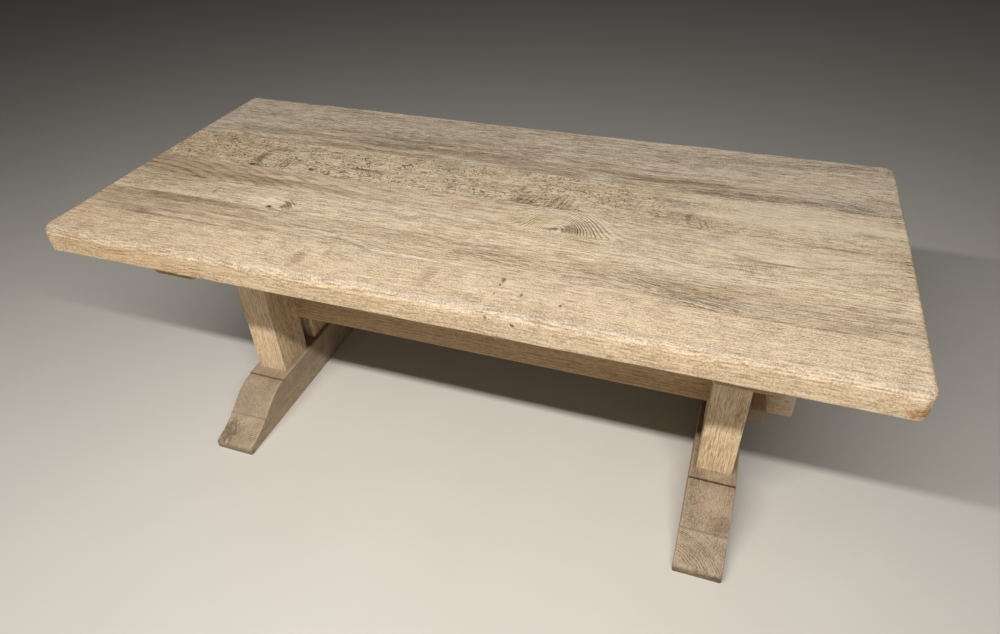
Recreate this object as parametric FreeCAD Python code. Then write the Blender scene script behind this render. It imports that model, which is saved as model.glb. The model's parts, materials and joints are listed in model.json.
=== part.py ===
import FreeCAD, Part
import os
from math import asin, atan2, cos, hypot, pi, sin
from FreeCAD import Vector

# Oak trestle table, in millimetres. The origin is on the floor under the middle of the top.
# X runs along the length, Y from the front to the rear, Z up.

# Overall
table_height = 766.0
top_length = 2000.0
top_width = 920.0
top_thickness = 66.0
trestle_inset = 310.0  # from an end of the top to the middle of its trestle

# Top boards, and the loose tongues hidden in their seams
board_width_shares = (0.141, 0.124, 0.103, 0.116, 0.190, 0.326)  # of the top's width, front to rear
top_corner_radius = 26.0
top_edge_radius = 21.0
top_lower_bevel = 5.0
tongue_thickness = 10.0
tongue_width = 30.0
tongue_stop = 70.0  # a tongue ends this far short of the ends of the top
tongue_height_share = 0.6  # of the top's thickness, from below

# Feet: an ogee slope from a flat seat down to a low toe, glued up from two layers
foot_length = 814.0
foot_width = 122.0
foot_height = 124.0
foot_lower_height = 62.0
toe_height = 26.0
toe_radius = 9.0
seat_margin = 36.0  # the seat runs on this far past the posts
ogee_run_share = 0.42  # where the slope turns from round to hollow, along its run
ogee_fall_share = 0.45  # and down its fall
ogee_bulge = 5.0
quirk_depth = 5.0
quirk_run = 20.0
foot_arris = 4.0

# Posts: a front and a rear one on each foot, with a tenon at both ends
post_width = 94.0
post_depth = 132.0
post_gap = 50.0
post_arris = 4.0
tenon_shoulder = 26.0
tenon_cheek = 18.0
foot_tenon_length = 48.0
bearer_tenon_length = 44.0

# Bearers: the cross rails that carry the top
bearer_length = 787.0
bearer_width = 122.0
bearer_height = 66.0
bearer_lower_radius = 11.0
bearer_arris = 4.0

# Stretcher: a deep rail whose thinner tongues are housed between the posts and run on past them
stretcher_height = 115.0
stretcher_bottom = 253.0
stretcher_reach = 119.0  # past the outer faces of the posts
housing_depth = 4.0  # the sinking in each post that carries a tongue
shoulder_depth = 4.0
stretcher_arris = 3.0
tongue_end_radius = 9.0

# Keys: wedges through the tongues that hold the posts against the stretcher's shoulders
key_length = 220.0
key_front_width = 48.0
key_height = 40.0
key_taper_share = 0.038  # width lost along the length
key_arris = 5.0
key_fit = 0.3
slot_relief = 6.0  # the slot starts inside the posts' outer faces, so that the key can draw up

# Coach screws that hold the top, with washers in counterbores under the bearers
screw_pitch = 100.0
screw_from_post = 33.0
screw_diameter = 10.0
screw_tip = 8.0
screw_bite_share = 0.85  # of the wood below the tongues
head_across_flats = 17.0
head_height = 7.0
head_sides = 6
washer_diameter = 24.0
washer_thickness = 2.5
counterbore_depth = 20.0
counterbore_gap = 2.0  # around the washer
season_play = 6.0  # the holes in the bearers are this much longer than wide

# Shared
glue_gap = 0.5
hole_gap = 0.4
overrun = 5.0  # of every cut past the face it goes through
same_place = 0.01  # points nearer than this are taken as one

# Places that follow from the sizes
top_bottom = table_height - top_thickness
bearer_bottom = top_bottom - bearer_height
trestle_x = top_length / 2 - trestle_inset
post_inner_y = post_gap / 2
post_outer_y = post_inner_y + post_depth
post_outer_x = trestle_x + post_width / 2
seat_end_y = post_outer_y + seat_margin
tongue_middle_z = top_bottom + top_thickness * tongue_height_share
tongue_bottom_z = tongue_middle_z - tongue_thickness / 2
stretcher_tongue = post_gap + 2 * housing_depth
stretcher_thickness = stretcher_tongue + 2 * shoulder_depth
key_bottom = stretcher_bottom + (stretcher_height - key_height) / 2
screw_seat_z = bearer_bottom + counterbore_depth
screw_bite = (tongue_bottom_z - top_bottom) * screw_bite_share
screw_ys = [post_outer_y + screw_from_post + step * screw_pitch for step in range(2)]
screw_places = [side * y for y in screw_ys for side in (-1, 1)]


def block(x0, x1, y0, y1, z0, z1):
    return Part.makeBox(x1 - x0, y1 - y0, z1 - z0, Vector(x0, y0, z0))


def prism(points, along):
    wire = Part.makePolygon(points + points[:1])
    return Part.Face(wire).extrude(along)


def runs_along(edge, axis):
    start, end = edge.Vertexes[0].Point, edge.Vertexes[-1].Point
    return (end - start).cross(axis).Length < same_place


def lies_at(edge, axis, place):
    return all(abs(vertex.Point.dot(axis) - place) < same_place for vertex in edge.Vertexes)


def rounded(shape, radius, chosen):
    return shape.makeFillet(radius, [edge for edge in shape.Edges if chosen(edge)])


def bevelled(shape, width, chosen):
    return shape.makeChamfer(width, [edge for edge in shape.Edges if chosen(edge)])


x_axis = Vector(1, 0, 0)
y_axis = Vector(0, 1, 0)
z_axis = Vector(0, 0, 1)


def board_edges():
    edges = [-top_width / 2]
    for share in board_width_shares:
        edges.append(edges[-1] + top_width * share / sum(board_width_shares))
    return edges


def top_slab():
    half_x = top_length / 2
    half_y = top_width / 2
    slab = block(-half_x, half_x, -half_y, half_y, top_bottom, table_height)
    slab = rounded(slab, top_corner_radius, lambda edge: runs_along(edge, z_axis))
    slab = rounded(slab, top_edge_radius, lambda edge: lies_at(edge, z_axis, table_height))
    slab = bevelled(slab, top_lower_bevel, lambda edge: lies_at(edge, z_axis, top_bottom))
    for x in (-trestle_x, trestle_x):
        for y in screw_places:
            pilot = Part.makeCylinder(
                screw_diameter / 2 + hole_gap,
                screw_bite + glue_gap + overrun,
                Vector(x, y, top_bottom - overrun),
            )
            slab = slab.cut(pilot)
    return slab


def tongue(seam_y, gap):
    half_x = top_length / 2 - tongue_stop + gap
    half_y = tongue_width / 2 + gap
    return block(
        -half_x,
        half_x,
        seam_y - half_y,
        seam_y + half_y,
        tongue_bottom_z,
        tongue_bottom_z + tongue_thickness,
    )


def top_boards():
    slab = top_slab()
    edges = board_edges()
    for seam_y in edges[1:-1]:
        slab = slab.cut(tongue(seam_y, glue_gap))
    half_x = top_length / 2 + overrun
    boards = []
    for front_y, rear_y in zip(edges, edges[1:]):
        saw = block(-half_x, half_x, front_y, rear_y, top_bottom - overrun, table_height + overrun)
        boards.append(slab.common(saw))
    return boards


def arc_leaving(start, heading, end):
    # The arc from start to end that sets out along the heading, an angle in the YZ plane
    chord = end - start
    turn = atan2(chord.z, chord.y) - heading
    radius = hypot(chord.y, chord.z) / (2 * sin(turn))
    middle_heading = heading + turn / 2
    middle = start + Vector(0, cos(middle_heading), sin(middle_heading)) * (2 * radius * sin(turn / 2))
    return Part.Arc(start, middle, end)


def half_foot_edges():
    # One end of the foot's side view: the quirk, the ogee from there to the toe, and the toe's end
    seat = Vector(0, seat_end_y, foot_height)
    quirk = Vector(0, seat_end_y, foot_height - quirk_depth)
    brow = Vector(0, seat_end_y + quirk_run, foot_height - quirk_depth)
    toe = Vector(0, foot_length / 2, toe_height)
    run = toe.y - brow.y
    fall = brow.z - toe.z
    turn = Vector(0, brow.y + run * ogee_run_share, brow.z - fall * ogee_fall_share)
    chord = hypot(turn.y - brow.y, turn.z - brow.z)
    chord_heading = atan2(turn.z - brow.z, turn.y - brow.y)
    bulge_radius = (chord * chord / 4 + ogee_bulge * ogee_bulge) / (2 * ogee_bulge)
    half_turn = asin(chord / 2 / bulge_radius)
    curves = [
        Part.LineSegment(seat, quirk),
        Part.LineSegment(quirk, brow),
        arc_leaving(brow, chord_heading + half_turn, turn),
        arc_leaving(turn, chord_heading - half_turn, toe),
        Part.LineSegment(toe, Vector(0, foot_length / 2, 0)),
    ]
    return [curve.toShape() for curve in curves]


def foot_blank():
    front = half_foot_edges()
    rear = [edge.mirror(Vector(0, 0, 0), y_axis) for edge in front]
    seat = Part.LineSegment(Vector(0, -seat_end_y, foot_height), Vector(0, seat_end_y, foot_height))
    sole = Part.LineSegment(Vector(0, -foot_length / 2, 0), Vector(0, foot_length / 2, 0))
    outline = Part.Wire(Part.__sortEdges__(front + rear + [seat.toShape(), sole.toShape()]))
    blank = Part.Face(outline).extrude(x_axis * foot_width)
    blank.translate(x_axis * (-foot_width / 2))
    return rounded(
        blank,
        toe_radius,
        lambda edge: runs_along(edge, x_axis) and lies_at(edge, z_axis, toe_height),
    )


def tenon(x, side, z0, z1):
    half_x = post_width / 2 - tenon_shoulder
    ys = sorted((side * (post_inner_y + tenon_cheek), side * (post_outer_y - tenon_cheek)))
    return block(x - half_x, x + half_x, ys[0], ys[1], z0, z1)


def foot_layers(x):
    foot = foot_blank()
    sides = (-foot_width / 2, foot_width / 2)
    foot = bevelled(foot, foot_arris, lambda edge: any(lies_at(edge, x_axis, place) for place in sides))
    for side in (-1, 1):
        foot = foot.cut(tenon(0, side, foot_height - foot_tenon_length - glue_gap, foot_height + overrun))
    foot.translate(x_axis * x)
    half_x = foot_width / 2 + overrun
    half_y = foot_length / 2 + overrun
    lower = block(x - half_x, x + half_x, -half_y, half_y, -overrun, foot_lower_height)
    return foot.common(lower), foot.cut(lower)


def post(x, side):
    ys = sorted((side * post_inner_y, side * post_outer_y))
    shaft = block(x - post_width / 2, x + post_width / 2, ys[0], ys[1], foot_height, bearer_bottom)
    shaft = bevelled(shaft, post_arris, lambda edge: runs_along(edge, z_axis))
    shaft = shaft.fuse(tenon(x, side, foot_height - foot_tenon_length, foot_height))
    shaft = shaft.fuse(tenon(x, side, bearer_bottom, bearer_bottom + bearer_tenon_length))
    half_y = stretcher_tongue / 2
    housing = block(
        x - post_width,
        x + post_width,
        -half_y,
        half_y,
        stretcher_bottom,
        stretcher_bottom + stretcher_height,
    )
    return shaft.cut(housing).removeSplitter()


def season_slot(x, y):
    # A hole through the bearer that lets the top shrink and swell across its width
    radius = screw_diameter / 2 + hole_gap
    half_run = season_play / 2
    depth = bearer_height + overrun
    hole = block(x - radius, x + radius, y - half_run, y + half_run, bearer_bottom, bearer_bottom + depth)
    for end_y in (y - half_run, y + half_run):
        hole = hole.fuse(Part.makeCylinder(radius, depth, Vector(x, end_y, bearer_bottom)))
    return hole


def bearer(x):
    half_x = bearer_width / 2
    half_y = bearer_length / 2
    rail = block(x - half_x, x + half_x, -half_y, half_y, bearer_bottom, top_bottom)
    rail = rounded(rail, bearer_lower_radius, lambda edge: lies_at(edge, z_axis, bearer_bottom))
    rail = bevelled(rail, bearer_arris, lambda edge: runs_along(edge, z_axis))
    mortise_top = bearer_bottom + bearer_tenon_length + glue_gap
    for side in (-1, 1):
        rail = rail.cut(tenon(x, side, bearer_bottom - overrun, mortise_top))
    for y in screw_places:
        counterbore = Part.makeCylinder(
            washer_diameter / 2 + counterbore_gap,
            counterbore_depth + overrun,
            Vector(x, y, bearer_bottom - overrun),
        )
        rail = rail.cut(counterbore).cut(season_slot(x, y))
    return rail


def key_outer_x(y):
    return post_outer_x + key_front_width - (y + key_length / 2) * key_taper_share


def key_plan(side, half_y, inner_x, gap, z):
    return [
        Vector(side * inner_x, -half_y, z),
        Vector(side * (key_outer_x(-half_y) + gap), -half_y, z),
        Vector(side * (key_outer_x(half_y) + gap), half_y, z),
        Vector(side * inner_x, half_y, z),
    ]


def key(side):
    plan = key_plan(side, key_length / 2, post_outer_x, 0, key_bottom)
    wedge = prism(plan, z_axis * key_height)
    return wedge.makeChamfer(key_arris, wedge.Edges)


def key_slot(side):
    half_y = stretcher_thickness / 2 + overrun
    plan = key_plan(side, half_y, post_outer_x - slot_relief, key_fit, key_bottom)
    return prism(plan, z_axis * (key_height + key_fit))


def stretcher():
    shoulder_x = trestle_x - post_width / 2
    end_x = post_outer_x + stretcher_reach
    top_z = stretcher_bottom + stretcher_height
    half_rail = stretcher_thickness / 2
    half_tongue = stretcher_tongue / 2
    rail = block(-shoulder_x, shoulder_x, -half_rail, half_rail, stretcher_bottom, top_z)
    rail = bevelled(rail, stretcher_arris, lambda edge: runs_along(edge, x_axis))
    for side in (-1, 1):
        xs = sorted((side * shoulder_x, side * end_x))
        part = block(xs[0], xs[1], -half_tongue, half_tongue, stretcher_bottom, top_z)
        part = rounded(
            part,
            tongue_end_radius,
            lambda edge: runs_along(edge, y_axis) and lies_at(edge, x_axis, side * end_x),
        )
        part = bevelled(part, stretcher_arris, lambda edge: runs_along(edge, x_axis))
        rail = rail.fuse(part).cut(key_slot(side))
    return rail


def screw(x, y):
    head_bottom = screw_seat_z - washer_thickness - head_height
    corner = head_across_flats / 2 / cos(pi / head_sides)
    turns = [2 * pi * step / head_sides for step in range(head_sides)]
    hexagon = [Vector(x + corner * cos(turn), y + corner * sin(turn), head_bottom) for turn in turns]
    shank_bottom = head_bottom + head_height
    shank_top = top_bottom + screw_bite
    half_profile = [
        Vector(x, y, shank_bottom),
        Vector(x + screw_diameter / 2, y, shank_bottom),
        Vector(x + screw_diameter / 2, y, shank_top - screw_tip),
        Vector(x, y, shank_top),
    ]
    outline = Part.Face(Part.makePolygon(half_profile + half_profile[:1]))
    full_turn = 360
    shank = outline.revolve(Vector(x, y, 0), z_axis, full_turn)
    return prism(hexagon, z_axis * head_height).fuse(shank)


def washer(x, y):
    base = Vector(x, y, screw_seat_z - washer_thickness)
    disc = Part.makeCylinder(washer_diameter / 2, washer_thickness, base)
    return disc.cut(Part.makeCylinder(screw_diameter / 2 + hole_gap, washer_thickness, base))


def table():
    nodes = {}
    for number, board in enumerate(top_boards(), 1):
        nodes[f"top_board_{number}"] = board
    for number, seam_y in enumerate(board_edges()[1:-1], 1):
        nodes[f"top_tongue_{number}"] = tongue(seam_y, 0)
    for hand, side in (("left", -1), ("right", 1)):
        x = side * trestle_x
        nodes[f"{hand}_foot_lower"], nodes[f"{hand}_foot_upper"] = foot_layers(x)
        nodes[f"{hand}_front_post"] = post(x, -1)
        nodes[f"{hand}_rear_post"] = post(x, 1)
        nodes[f"{hand}_bearer"] = bearer(x)
        nodes[f"{hand}_key"] = key(side)
        nodes[f"{hand}_top_screws"] = Part.makeCompound([screw(x, y) for y in screw_places])
        nodes[f"{hand}_top_washers"] = Part.makeCompound([washer(x, y) for y in screw_places])
    nodes["stretcher"] = stretcher()
    return nodes


os.makedirs("parts", exist_ok=True)
for name, shape in table().items():
    shape.exportStep(f"parts/{name}.step")
    print(name, len(shape.Solids), "solids", round(shape.Volume), shape.isValid())
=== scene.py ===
import json
from math import atan, atan2, hypot, pi, radians
import bpy
import numpy as np
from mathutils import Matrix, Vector


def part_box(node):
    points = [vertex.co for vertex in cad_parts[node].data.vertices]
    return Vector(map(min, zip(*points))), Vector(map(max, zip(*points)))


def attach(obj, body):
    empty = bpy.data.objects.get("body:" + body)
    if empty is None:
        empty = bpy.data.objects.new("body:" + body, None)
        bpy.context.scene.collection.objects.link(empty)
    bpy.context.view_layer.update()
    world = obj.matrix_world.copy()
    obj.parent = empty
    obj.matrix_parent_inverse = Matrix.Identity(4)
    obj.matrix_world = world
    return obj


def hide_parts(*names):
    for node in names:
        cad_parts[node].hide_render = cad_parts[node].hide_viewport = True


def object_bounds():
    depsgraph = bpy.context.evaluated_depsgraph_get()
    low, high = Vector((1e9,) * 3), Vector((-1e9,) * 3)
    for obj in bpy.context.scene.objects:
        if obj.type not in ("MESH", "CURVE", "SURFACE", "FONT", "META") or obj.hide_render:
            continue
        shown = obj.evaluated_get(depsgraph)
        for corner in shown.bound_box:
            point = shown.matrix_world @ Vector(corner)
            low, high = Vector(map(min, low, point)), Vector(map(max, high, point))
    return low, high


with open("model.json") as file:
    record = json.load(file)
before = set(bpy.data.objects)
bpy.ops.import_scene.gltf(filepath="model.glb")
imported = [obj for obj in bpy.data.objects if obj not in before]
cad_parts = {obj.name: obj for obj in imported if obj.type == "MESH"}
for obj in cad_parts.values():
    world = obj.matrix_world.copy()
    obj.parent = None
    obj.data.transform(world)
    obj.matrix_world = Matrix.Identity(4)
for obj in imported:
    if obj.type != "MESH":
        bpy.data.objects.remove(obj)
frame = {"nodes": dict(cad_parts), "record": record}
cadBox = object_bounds()
print("frame:", len(frame["nodes"]), "nodes")

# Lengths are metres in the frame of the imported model: X along the top, Y to the rear, Z up.
bodyOf = {node: body for body, nodes in frame["record"]["behaviour"]["bodies"].items() for node in nodes}
slotOf = {part["node"]: part["material_slot"] for part in frame["record"]["subparts"]}
hands = {"left": -1, "right": 1}
hair = 0.00005  # two stations this far apart make a step in a surface
glueGap = 0.0005  # a groove or mortise is this much larger than what it holds
tiny = 1e-9  # keeps a length from being zero where it divides
sharpAngle = 42  # degrees; faces that meet at more than this are shaded apart


# Surfaces

def stations(breaks, step, lowRound=0, highRound=0, turns=4):
    # Even steps from break to break; in a rounded zone at an end the places r * tan(angle),
    # which give even turns of its arc
    arc = np.tan(np.linspace(0, pi / 4, turns + 1))
    ends = [breaks[0] + lowRound, *breaks[1:-1], breaks[-1] - highRound]
    places = [breaks[0] + lowRound * (1 - arc), breaks[-1] - highRound * (1 - arc)]
    for low, high in zip(ends, ends[1:]):
        places.append(np.linspace(low, high, 1 + max(1, round((high - low) / step))))
    return np.unique(np.concatenate(places).round(7))


def weld(points, quads):
    # Points in one place become one point, and points that no face uses go
    used, corner = np.unique(quads, return_inverse=True)
    merged, home = np.unique(points[used].round(7), axis=0, return_inverse=True)
    return merged, home.reshape(-1)[corner].reshape(-1, 4)


def gridSheet(us, vs):
    # Places of a flat grid in two axes, and its faces
    u, v = np.meshgrid(us, vs, indexing="ij")
    ids = np.arange(u.size).reshape(u.shape)
    corners = [ids[:-1, :-1], ids[1:, :-1], ids[1:, 1:], ids[:-1, 1:]]
    return np.column_stack([u.ravel(), v.ravel()]), np.stack(corners, -1).reshape(-1, 4)


def boxSurface(*axes):
    # The skin of a box: six grids of stations that share their edges, with faces turned outwards
    points = []
    quads = []
    start = 0
    for axis in range(3):
        others = [(axis + 1) % 3, (axis + 2) % 3]
        grid, ring = gridSheet(*(axes[other] for other in others))
        for end in (0, -1):
            sheet = np.empty((len(grid), 3))
            sheet[:, axis] = axes[axis][end]
            sheet[:, others] = grid
            points.append(sheet)
            quads.append(start + (ring if end else ring[:, ::-1]))
            start += len(grid)
    return weld(np.concatenate(points), np.concatenate(quads))


def roundEdge(insetA, insetB, radius):
    # Within a radius of an edge the square ring max(a, b) becomes an arc; gives the new insets
    # and how near the middle of the arc a point lies
    a = np.clip(radius - insetA, 0, radius)
    b = np.clip(radius - insetB, 0, radius)
    size = np.maximum(np.hypot(a, b), tiny)
    keep = np.where(a * b > 0, np.maximum(a, b) / size, 1)
    return insetA + a * (1 - keep), insetB + b * (1 - keep), 2 * a * b / size ** 2


def roundBox(points, low, high, radii):
    # The edges of a box made round, with one radius for the edges along Z, X and Y each
    middle, half = (np.asarray(low) + high) / 2, (np.asarray(high) - low) / 2
    inset = half - np.abs(points - middle)
    worn = np.zeros(len(points))
    for a, radius in enumerate(radii):
        b = (a + 1) % 3
        inset[:, a], inset[:, b], near = roundEdge(inset[:, a], inset[:, b], radius)
        worn = np.maximum(worn, near)
    return np.column_stack([middle + np.sign(points - middle) * (half - inset), worn])


# From here on a row is x, y, z and how worn the wood is there

def facesIn(rows, quads, low, high):
    # Faces that lie wholly within a box
    places = rows[:, :3]
    inside = ((places > np.asarray(low) - hair) & (places < np.asarray(high) + hair)).all(1)
    return inside[quads].all(1)


def moveFaces(rows, quads, chosen, moved):
    # The chosen faces go to the moved rows and a wall follows their rim; the last value tells
    # which faces those now are
    region = quads[chosen]
    edges = np.concatenate([region[:, [side, (side + 1) % 4]] for side in range(4)])
    forth = edges[:, 0] * len(rows) + edges[:, 1]
    back = edges[:, 1] * len(rows) + edges[:, 0]
    rim = edges[~np.isin(forth, back)]
    wall = np.column_stack([rim, rim[:, ::-1] + len(rows)])
    joined = np.concatenate([quads[~chosen], wall, region + len(rows)])
    isMoved = np.arange(len(joined)) >= len(joined) - len(region)
    return np.concatenate([rows, moved]), joined, isMoved


def relevel(rows, quads, low, high, old, new):
    # The faces at one level over an oblong go to another, as a tenon or a mortise
    chosen = facesIn(rows, quads, (*low[:2], old), (*high[:2], old))
    return moveFaces(rows, quads, chosen, rows * (1, 1, 0, 1) + (0, 0, new, 0))[:2]


def bored(rows, quads, middle, level, zone, radius, depth):
    # A square patch of an underside turns into a disc by (u sqrt(1 - v v / 2), v sqrt(1 - u u / 2))
    # and rises as the floor of a round bore
    x, y = middle
    chosen = facesIn(rows, quads, (x - zone, y - zone, level), (x + zone, y + zone, level))
    u, v = ((rows[:, :2] - middle) / zone).clip(-1, 1).T
    disc = rows.copy()
    disc[:, 0] = x + radius * u * np.sqrt(1 - v * v / 2)
    disc[:, 1] = y + radius * v * np.sqrt(1 - u * u / 2)
    rows, quads, chosen = moveFaces(rows, quads, chosen, disc)
    return moveFaces(rows, quads, chosen, rows + (0, 0, depth, 0))[:2]


def ripple(points, lengths, seed, count=12, gain=2.5):
    # A smooth wandering value from about -1 to 1: the mean of some sine waves in fixed directions
    rng = np.random.default_rng(seed)
    waves = rng.normal(size=(3, count)) / np.asarray(lengths)[:, None]
    return gain * np.sin(2 * pi * points @ waves + rng.uniform(0, 2 * pi, count)).mean(1)


def wanderingArris(points, shape):
    # The radius of a hand-worked edge at each point
    wander = ripple(points, shape["arrisWave"], shape["arrisSeed"])
    return shape["arris"] * (1 + shape["arrisWander"] * wander)


def newObject(name, data):
    thing = bpy.data.objects.new(name, data)
    bpy.context.scene.collection.objects.link(thing)
    return thing


def makePiece(name, node, rows, quads, material):
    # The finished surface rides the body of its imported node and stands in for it
    rows, quads = weld(rows, quads)
    mesh = bpy.data.meshes.new(name)
    mesh.vertices.add(len(rows))
    mesh.vertices.foreach_set("co", rows[:, :3].ravel())
    mesh.loops.add(quads.size)
    mesh.loops.foreach_set("vertex_index", quads.ravel())
    mesh.polygons.add(len(quads))
    mesh.polygons.foreach_set("loop_start", np.arange(0, quads.size, 4))
    mesh.polygons.foreach_set("use_smooth", np.ones(len(quads), bool))
    mesh.update(calc_edges=True)
    mesh.set_sharp_from_angle(angle=radians(sharpAngle))
    worn = mesh.attributes.new("worn", "FLOAT", "POINT")
    worn.data.foreach_set("value", rows[:, 3].astype(np.float32))
    mesh.materials.append(material)
    piece = newObject(name, mesh)
    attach(piece, bodyOf[node])
    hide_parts(node)


# Shader tools

def feed(node, feeds):
    for key, value in feeds.items():
        if isinstance(value, bpy.types.NodeSocket):
            node.id_data.links.new(value, node.inputs[key])
        else:
            node.inputs[key].default_value = value
    return node.outputs


def addNode(kind, feeds, tree=None, **settings):
    # The new node goes into the tree of the sockets that feed it, or into the given one
    trees = [value.id_data for value in feeds.values() if isinstance(value, bpy.types.NodeSocket)]
    node = (tree or trees[0]).nodes.new("ShaderNode" + kind)
    for key, value in settings.items():
        setattr(node, key, value)
    return feed(node, feeds)


def calc(operation, a, b=0, c=0):
    return addNode("Math", {0: a, 1: b, 2: c}, operation=operation)[0]


def times(a, b):
    return calc("MULTIPLY", a, b)


def addTimes(a, b, c):
    # a times b, and c added
    return calc("MULTIPLY_ADD", a, b, c)


def calcVector(operation, a, b):
    return addNode("VectorMath", {0: a, 1: b}, operation=operation)[0]


def noise(vector, factors, detail, roughness=0.5, distortion=0):
    place = calcVector("MULTIPLY", vector, factors)
    feeds = {"Vector": place, "Scale": 1, "Detail": detail, "Roughness": roughness}
    return addNode("TexNoise", {**feeds, "Distortion": distortion})[0]


def soft(value, low, high, start=0, end=1):
    feeds = {"Value": value, "From Min": low, "From Max": high, "To Min": start, "To Max": end}
    return addNode("MapRange", feeds, interpolation_type="SMOOTHSTEP")[0]


def centred(value):
    return calc("SUBTRACT", value, 0.5)


def mixColour(factor, a, b, blend="MIX"):
    return addNode("Mix", {0: factor, 6: a, 7: b}, data_type="RGBA", blend_type=blend)[2]


def newGroup(name, inputs, outputs):
    # Inputs and outputs are labels listed by kind
    tree = bpy.data.node_groups.new(name, "ShaderNodeTree")
    for side, sockets in (("INPUT", inputs), ("OUTPUT", outputs)):
        for kind, labels in sockets.items():
            for label in labels:
                tree.interface.new_socket(label, in_out=side, socket_type="NodeSocket" + kind)
    given = tree.nodes.new("NodeGroupInput").outputs
    return tree, given, tree.nodes.new("NodeGroupOutput")


def useGroup(name, feeds):
    return addNode("Group", feeds, node_tree=groups[name])


def tint(red, green, blue):
    # A display colour of 0 to 255 as linear light
    share = np.array([red, green, blue]) / 255
    linear = np.where(share < 0.04045, share / 12.92, ((share + 0.055) / 1.055) ** 2.4)
    return (*linear.tolist(), 1)


def newMaterial(name):
    material = bpy.data.materials.new(name)
    material.use_nodes = True
    return material, material.node_tree, material.node_tree.nodes["Principled BSDF"]


# Oak

# Noises in the wood: cells per metre along the grain and across it, and detail
oakNoises = {
    "sway": (1.6, 3, 2),
    "wander": (4, 50, 2),
    "streak": (1, 15, 4),
    "lines": (13, 320, 3),
    "dash": (48, 340, 2),
    "grit": (280, 260, 1),
    "mottle": (24, 16, 3),
    "pore": (30, 330, 1),
    "hue": (2.5, 13, 2),
    "curl": (32, 44, 1),
    "curlBreaks": (40, 75, 2),
    "curlPatches": (5, 14, 2),
    "markEdge": (50, 90, 3),
    "markStreak": (3, 40, 4),
}
oak = {
    "swingRange": (0.28, 0.72),
    "swingRoughness": 0.62,
    "tone": 0.42,  # share of brown where nothing else acts
    "endTone": 0.22,  # more of it on end grain
    "toneRange": (-0.3, 1.3),
    "bareRange": (-0.4, 0.4),
    "bareTone": (0.1, 0.5),  # less of it on worn edges
    "hueRange": (0.3, 0.7),
    "earlyFall": (0, 0.5),  # shares of a ring
    "earlyRise": (0.8, 1),
    "earlyMean": 0.3,
    "ringWander": 0.9,
    "ringLeast": 0.3,
    "poreRange": (0.57, 0.7),
    "poreLeast": 0.4,
    "poreColour": (96, 78, 58),
    "poreHeight": -0.8,
    "curlColour": (96, 79, 60),
    "curlLines": 6,
    "curlTwist": 0.6,
    "curlWidth": (0.03, 0.25),
    "breakRange": (0.34, 0.5),
    "patchRange": (0.35, 0.6),
    "patchLeast": 0.4,
    "coolHue": (0.985, 0.995, 1.01, 1),
    "warmHue": (1.015, 1, 0.975, 1),
    "roughness": (0.56, 0.74),
    "specular": 0.25,
    "bump": 0.2,
    "bumpDepth": 0.001,
    "markFull": 0.2,  # share of its reach
    "hatchWaver": 0.6,
    "hatchRange": (0.4, 0.62),
}
swings = ("Streak", "Lines", "Dash", "Grit", "Mottle")
depths = (*swings, "Pore", "Curl")
knotSizes = ("Before", "After", "Width", "Swell", "Push", "Dark")


def grainNoise(grain, label, **settings):
    along, across, detail = oakNoises[label]
    return noise(grain, (along, across, across), detail, **settings)


def swing(grain, label):
    # A noise in the wood with its usual range spread over -0.5 to 0.5
    value = grainNoise(grain, label, roughness=oak["swingRoughness"])
    return centred(soft(value, *oak["swingRange"]))


def growthGroup():
    # Ring number: the distance from the pith line over the ring width; the grain sways along the wood
    inputs = {"Vector": ["Place", "Pith", "Drift"], "Float": ["Sway", "Ring Width"]}
    tree, given, made = newGroup("growth", inputs, {"Vector": ["Grain"], "Float": ["Ring"]})
    bend = centred(grainNoise(given["Place"], "sway"))
    sway = addNode("CombineXYZ", {"Y": times(bend, given["Sway"])})[0]
    grain = calcVector("ADD", given["Place"], sway)
    along = addNode("SeparateXYZ", {0: given["Place"]})[0]
    drift = addNode("VectorMath", {0: given["Drift"], "Scale": along}, operation="SCALE")[0]
    away = calcVector("SUBTRACT", grain, given["Pith"])
    away = calcVector("MULTIPLY", calcVector("SUBTRACT", away, drift), (0, 1, 1))
    reach = addNode("VectorMath", {0: away}, operation="LENGTH")["Value"]
    feed(made, {"Grain": grain, "Ring": calc("DIVIDE", reach, given["Ring Width"])})
    return tree


def knotGroup():
    # A knot raises the ring number by swell * exp(-u u - v v), pushes the grain aside and
    # darkens its rings
    inputs = {"Vector": ["Grain", "Centre"], "Float": ["Ring", "Depth", *knotSizes]}
    outputs = {"Vector": ["Grain"], "Float": ["Ring", "Depth"]}
    tree, given, made = newGroup("knot", inputs, outputs)
    away = addNode("SeparateXYZ", {0: calcVector("SUBTRACT", given["Grain"], given["Centre"])})
    isAfter = calc("GREATER_THAN", away[0], 0)
    longer = calc("SUBTRACT", given["After"], given["Before"])
    length = addTimes(isAfter, longer, given["Before"])
    u = calc("DIVIDE", away[0], length)
    v = calc("DIVIDE", away[1], given["Width"])
    square = addTimes(u, u, times(v, v))
    near = calc("EXPONENT", times(square, -1))
    push = times(times(near, v), times(given["Push"], -1))
    aside = addNode("CombineXYZ", {"Y": push})[0]
    feed(made, {
        "Grain": calcVector("ADD", given["Grain"], aside),
        "Ring": addTimes(near, given["Swell"], given["Ring"]),
        "Depth": addTimes(near, given["Dark"], given["Depth"]),
    })
    return tree


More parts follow.
